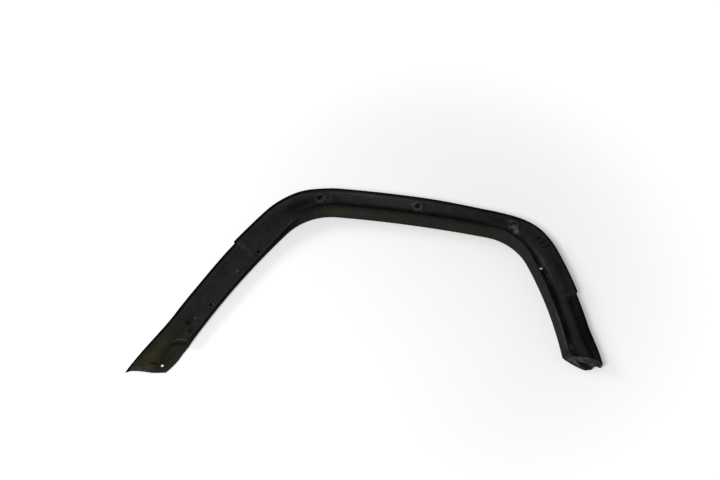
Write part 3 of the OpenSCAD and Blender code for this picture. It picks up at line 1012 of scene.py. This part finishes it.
DUST = [
    # station, reach, half length, half width, amount
    (270, 44, 3.5, 16, 0.55), (845, 37, 9, 7, 0.9), (-24, 44, 4, 22, 0.35), (1110, 20, 18, 7, 0.35),
    (455, 36, 8, 6, 0.6), (653, 36, 8, 6, 0.6), (637, 45, 5, 5, 0.45), (135, 13, 6, 5, 0.4),
    (292, 12, 6, 5, 0.4), (1003, 50, 2.5, 13, 0.4), (835, 48, 5, 4, 0.5), (500, 46, 22, 1.5, 0.25),
]
# Painted highlight: a light line just inside the outer lip
LIP_HIGHLIGHTS = [
    # tone, start, end, fade
    (0.35, 60, 330, 40), (0.9, 330, 690, 60),
]
# Painted shade on the sill leg's flange and painted light on the flange of the arch's top
FLANGE_SHADE_AND_LIGHT = [
    # tone, start, end, fade
    (0.3, 450, 540, 60), (-3.2, 50, 378, 45), (0.22, 450, 900, 60),
]
# Painted shadow on the upper strip of the flange along the arch's top
FLANGE_TOP_SHADOW = [(-1.0, 400, 820, 50)]
# Painted highlight on the flange's top edge along both legs
FLANGE_EDGE_HIGHLIGHTS = [(3.4, 60, 380, 30), (1.1, 1040, 1150, 40)]
FLANGE_TOP_SHADOW_WIDTH = 10.0
FLANGE_HIGHLIGHT_WIDTH = 1.3
# Painted shadow in the channel behind the flange along the arch's top
FLANGE_SHADOW_BAND = [(-1.1, 440, 800, 60)]
SHADOW_BAND_OUT = 29.0
SHADOW_BAND_WIDTH = 5.0
SHADOW_BAND_TOP = 20.0
# Painted shade in the bosses' holes and round their feet, painted highlight on their rings
HOLE_SHADE = -2.2
TOP_RING_HIGHLIGHT = 0.5
LEG_RING_HIGHLIGHT = 0.1
BOSS_FOOT_SHADE = -0.6
BOSS_FOOT_WIDTH = 4
# Painted shade in the dimples and the tail's slot, painted highlight on the slot's rim
DIMPLE_SHADE = -1.8
SLOT_SHADE = -2.6
SLOT_RIM_HIGHLIGHT = 0.8
# Painted highlight on the curled wall's top, painted shadow at its tail side
CURL_TOP_HIGHLIGHT = 1.0
CURL_SIDE_SHADOW = -1.1
RIM_TONE = -2.4
TAIL_EDGE_TONE = -1.2
END_LOW_TONE = -0.5
END_TONE = 1.9
END_FAR_TONE = -0.9
END_TOP_TONE = -0.9
END_DUST = 0.9
END_PALE = 9.0
BACK_SIDE = -0.35
PLACE_STEP = 2.0


def bump(x, centre, width):
    return math.exp(-((x - centre) / width) ** 2)


def window(x, start, end, fade):
    return ease((x - start) / fade + 0.5) * ease((end - x) / fade + 0.5)


def laid(table, station, out):
    """Sum of a table's soft spots at a place."""
    return sum(amount * bump(station, at, run) * bump(out, reach_at, width)
               for at, reach_at, run, width, amount in table)


def stretches(table, station):
    """Sum of a table's stretches along the arch at a station."""
    return sum(amount * window(station, start, end, fade) for amount, start, end, fade in table)


def boss_shade_and_highlight(x, y, height):
    """Painted shade in the bosses' holes and round their feet, painted highlight on their rings."""
    tone = 0.0
    for at, hole, wall, top in BOSSES:
        cx, cy, _ = spot(*at)
        away = math.hypot(x - cx, y - cy)
        if away < hole + 0.1 and height < top - 0.3:
            tone += HOLE_SHADE
        elif away < hole + wall + 0.1 and height > top - 1.2:
            tone += TOP_RING_HIGHLIGHT if at in TOP_BOSSES else LEG_RING_HIGHLIGHT
        elif away < hole + wall + BOSS_FOOT_WIDTH:
            tone += BOSS_FOOT_SHADE * clamp((hole + wall + BOSS_FOOT_WIDTH - away) / 3)
    return tone


def hollow_shade_and_highlight(x, y):
    """Painted shade in the dimples and the tail's slot, painted highlight on the slot's rim."""
    tone = 0.0
    for at in DIMPLES:
        cx, cy, _ = spot(*at)
        tone += DIMPLE_SHADE * bump(math.hypot(x - cx, y - cy), 0.0, DIMPLE_RADIUS)
    cx, cy, _ = spot(*TAIL_SLOT)
    along_slot, across_slot = turned((x - cx, y - cy), -slot_turn)
    near = bump(along_slot, 0.0, TAIL_SLOT_LENGTH / 2)
    tone += near * SLOT_SHADE * bump(across_slot, 0.0, 1.8)
    return tone + near * SLOT_RIM_HIGHLIGHT * bump(across_slot, 4.0, 2.0)


def curl_highlight_and_shadow(station, out, height):
    """A painted highlight on the top of the curled wall and a painted shadow at its tail side."""
    share = (out - CURL_FIRST) / CURL_WIDTH
    if not (0 < share < 1 and station < CURL_START + 2):
        return 0.0
    past = station - curl_at(math.asin(share) * 2 / math.pi)[0]
    if abs(past) < 2.2 and height > CURL_END_TOP - 1.5:
        return CURL_TOP_HIGHLIGHT
    return CURL_SIDE_SHADOW * bump(past, -5.0, 3.0)


def edge_tone(station, out, height):
    """Dark rim and tail edge, with a painted highlight line inside the lip."""
    rim = reach(station) - LIP_WALL
    on_rim = out > rim - 1.0 and height > edge_top(station) - 2.0
    tone = RIM_TONE if on_rim else stretches(LIP_HIGHLIGHTS, station) * bump(out, rim - 3.5, 2.0)
    return tone + TAIL_EDGE_TONE * ease((-TAIL_LENGTH + 2.5 - station) / 2)


def flange_shade_and_highlight(station, height):
    """Painted shade along the sill leg's flange and a painted shadow in the strip under the top edge of the
    arch's top, painted light on the top's flange, with a painted highlight on the top edge along both legs."""
    below_top = flange_height(station) - height
    tone = stretches(FLANGE_SHADE_AND_LIGHT, station)
    tone += ease((FLANGE_TOP_SHADOW_WIDTH - below_top) / 5) * stretches(FLANGE_TOP_SHADOW, station)
    if below_top < FLANGE_HIGHLIGHT_WIDTH:
        tone += stretches(FLANGE_EDGE_HIGHLIGHTS, station)
    return tone


def end_tone(out, height):
    """The end wall is dark at its foot and pale above, less so at its far side and its top."""
    light = END_TONE + END_FAR_TONE * ease((out - 34) / 12) + END_TOP_TONE * ease((height - 23.0) / 4)
    return mix(END_LOW_TONE, light, ease((height - END_PALE) / 3))


def shade_and_coat_at(station, out, x, y, height):
    """Tone (painted light and shade together with stains), earth and dust at a place on the back of the
    moulding.
    """
    on_end = ease((station - end_wall_line(max(0.0, out)) + 3.0) / 3.0)
    end_dust = on_end * END_DUST * bump(out, 30, 42) * ease((height - END_PALE) / 3)
    earth = clamp(laid(EARTH, station, out) * (1 - 0.6 * on_end))
    dust = clamp(laid(DUST, station, out) + end_dust)
    if out < 4.5 and height > 7.0 and FLANGE_START + 8 < station < FOOT_END - 4:
        return flange_shade_and_highlight(station, height), earth, dust
    tone = laid(SHADE_LIGHT_AND_STAINS, station, out) + edge_tone(station, out, height) + curl_highlight_and_shadow(station, out, height)
    tone += boss_shade_and_highlight(x, y, height) + hollow_shade_and_highlight(x, y)
    # Painted shadow in the channel behind the top's flange
    if height < SHADOW_BAND_TOP:
        tone += bump(out, SHADOW_BAND_OUT, SHADOW_BAND_WIDTH) * stretches(FLANGE_SHADOW_BAND, station)
    return tone + on_end * end_tone(out, height), earth, dust


def place_finder():
    """Finds the station and reach nearest to a point, from a fine net of places."""
    stations = range(int(-70 / PLACE_STEP), int((FOOT_END + 2) / PLACE_STEP) + 1)
    outs = range(-2, int(84 / PLACE_STEP))
    places = [(station * PLACE_STEP, out * PLACE_STEP) for station in stations for out in outs]
    finder = kdtree.KDTree(len(places))
    for index, at in enumerate(places):
        point = world(spot(*at))
        finder.insert((point.x, point.y, 0), index)
    finder.balance()
    return places, finder


def store_shade_and_coat(obj):
    """Stores tone (painted light and shade together with stains), earth and dust on each vertex of the back.
    """
    places, finder = place_finder()
    columns = [[], [], []]
    for vertex in obj.data.vertices:
        values = (0.0, 0.0, 0.0)
        if vertex.normal.z > BACK_SIDE:
            _, index, _ = finder.find((vertex.co.x, vertex.co.y, 0))
            x, y, z = vertex.co / MM
            values = shade_and_coat_at(*places[index], x - START_X, y - START_Y, z)
        for column, value in zip(columns, values):
            column.append(value)
    for name, column in zip(("tone", "earth", "dust"), columns):
        obj.data.attributes.new(name, "FLOAT", "POINT").data.foreach_set("value", column)


store_shade_and_coat(flare)

# Material of the moulding
PLASTIC = (0.0161, 0.0190, 0.0177, 1)
PLASTIC_VIOLET = (0.0186, 0.0180, 0.0190, 1)
EARTH_TINT = (1.38, 1.05, 0.56, 1)
DUST_COLOUR = (0.13, 0.135, 0.125, 1)
SPECK_COLOUR = (0.19, 0.21, 0.19, 1)
SPECKS = [
    # station, reach, radius, cover
    (225, 22.0, 1.8, 0.3), (91.5, 23.5, 1.8, 0.35), (849, 35.0, 3.4, 0.8), (841, 40.5, 2.4, 0.6),
    (1109, 24.0, 2.6, 0.6), (1102, 21.0, 2.0, 0.5),
]
SPECK_FADE = 2.2
SCRATCH_TURN = -52
SCRATCH_SCALE = (14, 520, 30)
SHEEN = 0.06
WAVE_STRENGTH = 0.5
WAVE_DEPTH = 0.0012
GRAIN_STRENGTH = 0.45
GRAIN_DEPTH = 0.00035


def add_node(tree, kind, **values):
    node = tree.nodes.new(kind)
    for name, value in values.items():
        setattr(node, name, value)
    return node


def feed(tree, node, values):
    """Links outputs to a node's inputs, or sets the inputs to plain values."""
    for name, value in values.items():
        if isinstance(value, bpy.types.NodeSocket):
            tree.links.new(value, node.inputs[name])
        else:
            node.inputs[name].default_value = value


def math_node(tree, operation, a, b, clamped=False):
    node = add_node(tree, "ShaderNodeMath", operation=operation, use_clamp=clamped)
    feed(tree, node, {0: a, 1: b})
    return node.outputs[0]


def mix_colour(tree, blend, factor, a, b):
    node = add_node(tree, "ShaderNodeMix", data_type="RGBA", blend_type=blend, clamp_factor=True)
    feed(tree, node, {0: factor, 6: a, 7: b})
    return node.outputs[2]


def map_range(tree, value, low, high, to_low, to_high, **settings):
    node = add_node(tree, "ShaderNodeMapRange", **settings)
    feed(tree, node, {"Value": value, "From Min": low, "From Max": high, "To Min": to_low, "To Max": to_high})
    return node.outputs[0]


def noise(tree, vector, scale, detail, low, high, to_low=0.0, to_high=1.0):
    """Noise stretched between two of its values onto a range."""
    node = add_node(tree, "ShaderNodeTexNoise")
    feed(tree, node, {"Scale": scale, "Detail": detail, "Vector": vector})
    return map_range(tree, node.outputs["Fac"], low, high, to_low, to_high)


def relief(tree, height, strength, depth):
    node = add_node(tree, "ShaderNodeBump")
    feed(tree, node, {"Strength": strength, "Distance": depth, "Height": height})
    return node


def attribute(tree, name):
    return add_node(tree, "ShaderNodeAttribute", attribute_name=name).outputs["Fac"]


def back_point(station, out):
    """The point of the back that is seen from above at a place, on a boss or on the wall."""
    point = world(spot(station, out))
    hit, at, _, _ = flare.ray_cast(Vector((point.x, point.y, 0.1)), Vector((0, 0, -1)))
    return at if hit else point


def stained_and_shaded_plastic(tree, where, tone, earth):
    """Two blacks in soft patches, browned by earth, then lightened and darkened by the tone's painted light
    and shade and its stains.
    """
    patches = noise(tree, where, 30, 2, 0.46, 0.66)
    colour = mix_colour(tree, "MIX", patches, PLASTIC, PLASTIC_VIOLET)
    ragged = noise(tree, where, 75, 4, 0.30, 0.70, 0.45, 1.35)
    earthy = math_node(tree, "MULTIPLY", earth, ragged, True)
    tinted = mix_colour(tree, "MULTIPLY", 1.0, colour, EARTH_TINT)
    colour = mix_colour(tree, "MIX", earthy, colour, tinted)

    uneven = math_node(tree, "MULTIPLY", tone, noise(tree, where, 95, 4, 0.25, 0.75, 0.75, 1.25))
    mottle = noise(tree, where, 60, 5, 0.25, 0.75, -0.28, 0.28)
    grain = noise(tree, where, 330, 3, 0.25, 0.75, -0.42, 0.42)
    level = math_node(tree, "ADD", math_node(tree, "ADD", uneven, mottle), grain)
    gain = math_node(tree, "POWER", 2.0, level)
    grey = add_node(tree, "ShaderNodeCombineColor")
    for socket in grey.inputs:
        tree.links.new(gain, socket)
    return mix_colour(tree, "MULTIPLY", 1.0, colour, grey.outputs[0])


def scratch_cover(tree, where):
    """Faint scratches along the sill leg."""
    along_leg = add_node(tree, "ShaderNodeMapping")
    turn = (0, 0, math.radians(SCRATCH_TURN))
    feed(tree, along_leg, {"Rotation": turn, "Scale": SCRATCH_SCALE, "Vector": where})
    scratches = noise(tree, along_leg.outputs[0], 1.0, 2, 0.69, 0.76)
    return math_node(tree, "MULTIPLY", scratches, noise(tree, where, 22, 2, 0.5, 0.62, 0.0, 0.22))


def speck_cover(tree, where):
    """Pale specks that fade from their centres outward."""
    cover = 0.0
    for station, out, radius, most in SPECKS:
        away = add_node(tree, "ShaderNodeVectorMath", operation="DISTANCE")
        feed(tree, away, {0: where, 1: back_point(station, out)})
        speck = map_range(tree, away.outputs["Value"], SPECK_FADE * radius * MM, 0.0, 0.0, most)
        cover = math_node(tree, "MAXIMUM", cover, speck)
    return cover


def plastic_material():
    material = bpy.data.materials.new("black_moulded_plastic")
    material.use_nodes = True
    tree = material.node_tree
    shader = tree.nodes["Principled BSDF"]
    where = tree.nodes.new("ShaderNodeTexCoord").outputs["Object"]
    tone, earth, dust = (attribute(tree, name) for name in ("tone", "earth", "dust"))

    # Colour
    colour = stained_and_shaded_plastic(tree, where, tone, earth)
    dusty = math_node(tree, "MULTIPLY", dust, noise(tree, where, 240, 4, 0.42, 0.66))
    dusted = math_node(tree, "MAXIMUM", dusty, scratch_cover(tree, where), True)
    specks = speck_cover(tree, where)
    colour = mix_colour(tree, "MIX", dusted, colour, DUST_COLOUR)
    colour = mix_colour(tree, "MIX", specks, colour, SPECK_COLOUR)
    tree.links.new(colour, shader.inputs["Base Color"])

    # Gloss: dull, and duller in the dark corners and under dust
    pale = math_node(tree, "MAXIMUM", dusted, specks, True)
    rough = noise(tree, where, 130, 4, 0.25, 0.75, 0.80, 0.96)
    rough = math_node(tree, "ADD", rough, math_node(tree, "MULTIPLY", tone, -0.03))
    rough = math_node(tree, "ADD", rough, math_node(tree, "MULTIPLY", pale, 0.1), True)
    tree.links.new(rough, shader.inputs["Roughness"])
    shader.inputs["Specular IOR Level"].default_value = SHEEN

    # Relief: slight waves of the moulding, its fine grain, and dust crumbs
    waves = relief(tree, noise(tree, where, 42, 3, 0.2, 0.8), WAVE_STRENGTH, WAVE_DEPTH)
    crumbs = math_node(tree, "ADD", noise(tree, where, 620, 2, 0.2, 0.8), pale)
    fine = relief(tree, crumbs, GRAIN_STRENGTH, GRAIN_DEPTH)
    tree.links.new(waves.outputs[0], fine.inputs["Normal"])
    tree.links.new(fine.outputs[0], shader.inputs["Normal"])
    return material


flare.data.materials.clear()
flare.data.materials.append(plastic_material())

# Floor and light. The floor glows to camera, glossy and transmission rays, more so further out
FLOOR_SIZE = 8
FLOOR_COLOUR = (0.8, 0.8, 0.8, 1)
FLOOR_ROUGHNESS = 0.9
FLOOR_SHEEN = 0.1
GLOW_COLOUR = (0.98, 0.99, 1, 1)
GLOW_FROM, GLOW_TO = 0.3, 1.0
GLOW_NEAR, GLOW_FAR = 0.27, 0.62
WORLD_LIGHT = 0.22
LAMPS = [
    # name, position, side, power
    ("key", (-0.6, -1.15, 2.0), 0.8, 35.0),
    ("side", (-2.1, 0.7, 1.5), 1.0, 22.0),
]


def floor_material():
    material = bpy.data.materials.new("pale_floor")
    material.use_nodes = True
    tree = material.node_tree
    shader = tree.nodes["Principled BSDF"]
    path = tree.nodes.new("ShaderNodeLightPath").outputs
    seen = math_node(tree, "MAXIMUM", path["Is Camera Ray"], path["Is Glossy Ray"])
    seen = math_node(tree, "MAXIMUM", seen, path["Is Transmission Ray"])
    away = add_node(tree, "ShaderNodeVectorMath", operation="LENGTH")
    tree.links.new(tree.nodes.new("ShaderNodeTexCoord").outputs["Object"], away.inputs[0])
    glow = map_range(tree, away.outputs["Value"], GLOW_FROM, GLOW_TO, GLOW_NEAR, GLOW_FAR,
                     interpolation_type="SMOOTHSTEP")
    feed(tree, shader, {
        "Base Color": FLOOR_COLOUR, "Roughness": FLOOR_ROUGHNESS, "Specular IOR Level": FLOOR_SHEEN,
        "Emission Color": GLOW_COLOUR, "Emission Strength": math_node(tree, "MULTIPLY", seen, glow),
    })
    return material


def add_world():
    """White to the camera, and a plain weak light on the object."""
    studio = bpy.data.worlds.new("studio")
    bpy.context.scene.world = studio
    studio.use_nodes = True
    tree = studio.node_tree
    background = tree.nodes["Background"]
    background.inputs["Color"].default_value = (1, 1, 1, 1)
    path = tree.nodes.new("ShaderNodeLightPath").outputs
    strength = math_node(tree, "MAXIMUM", path["Is Camera Ray"], WORLD_LIGHT)
    tree.links.new(strength, background.inputs["Strength"])


def add_lamp(name, position, side, power):
    data = bpy.data.lights.new(name, "AREA")
    data.shape = "RECTANGLE"
    data.size = side
    data.size_y = side
    data.energy = power
    lamp = bpy.data.objects.new(name, data)
    bpy.context.scene.collection.objects.link(lamp)
    lamp.location = position
    lamp.rotation_euler = (-Vector(position)).to_track_quat("-Z", "Y").to_euler()


bpy.ops.mesh.primitive_plane_add(size=FLOOR_SIZE, location=(0, 0, 0))
floor = bpy.context.active_object
floor.name = "floor"
floor.data.materials.append(floor_material())
add_world()
for lamp_settings in LAMPS:
    add_lamp(*lamp_settings)


# Camera
def add_camera():
    data = bpy.data.cameras.new("camera")
    camera = bpy.data.objects.new("camera", data)
    bpy.context.scene.collection.objects.link(camera)
    bpy.context.scene.camera = camera
    roll = Matrix.Rotation(math.radians(CAMERA_ROLL), 3, "Z")
    tilt = math.radians(CAMERA_TILT)
    look = world((*LOOK_FROM_START, 0))
    back = Vector((0, -CAMERA_DISTANCE * math.sin(tilt), CAMERA_DISTANCE * math.cos(tilt)))
    position = look + roll @ back
    up = roll @ Vector((0, math.cos(tilt), math.sin(tilt)))
    forward = (look - position).normalized()
    right = forward.cross(up).normalized()
    turn = Matrix((right, right.cross(forward), -forward)).transposed().to_4x4()
    camera.matrix_world = Matrix.Translation(position) @ turn
    data.sensor_width = SENSOR_WIDTH
    data.lens = FOCAL_PIXELS * SENSOR_WIDTH / IMAGE_WIDTH
    data.clip_end = CAMERA_CLIP_END


add_camera()
bpy.context.scene.view_settings.view_transform = "Standard"
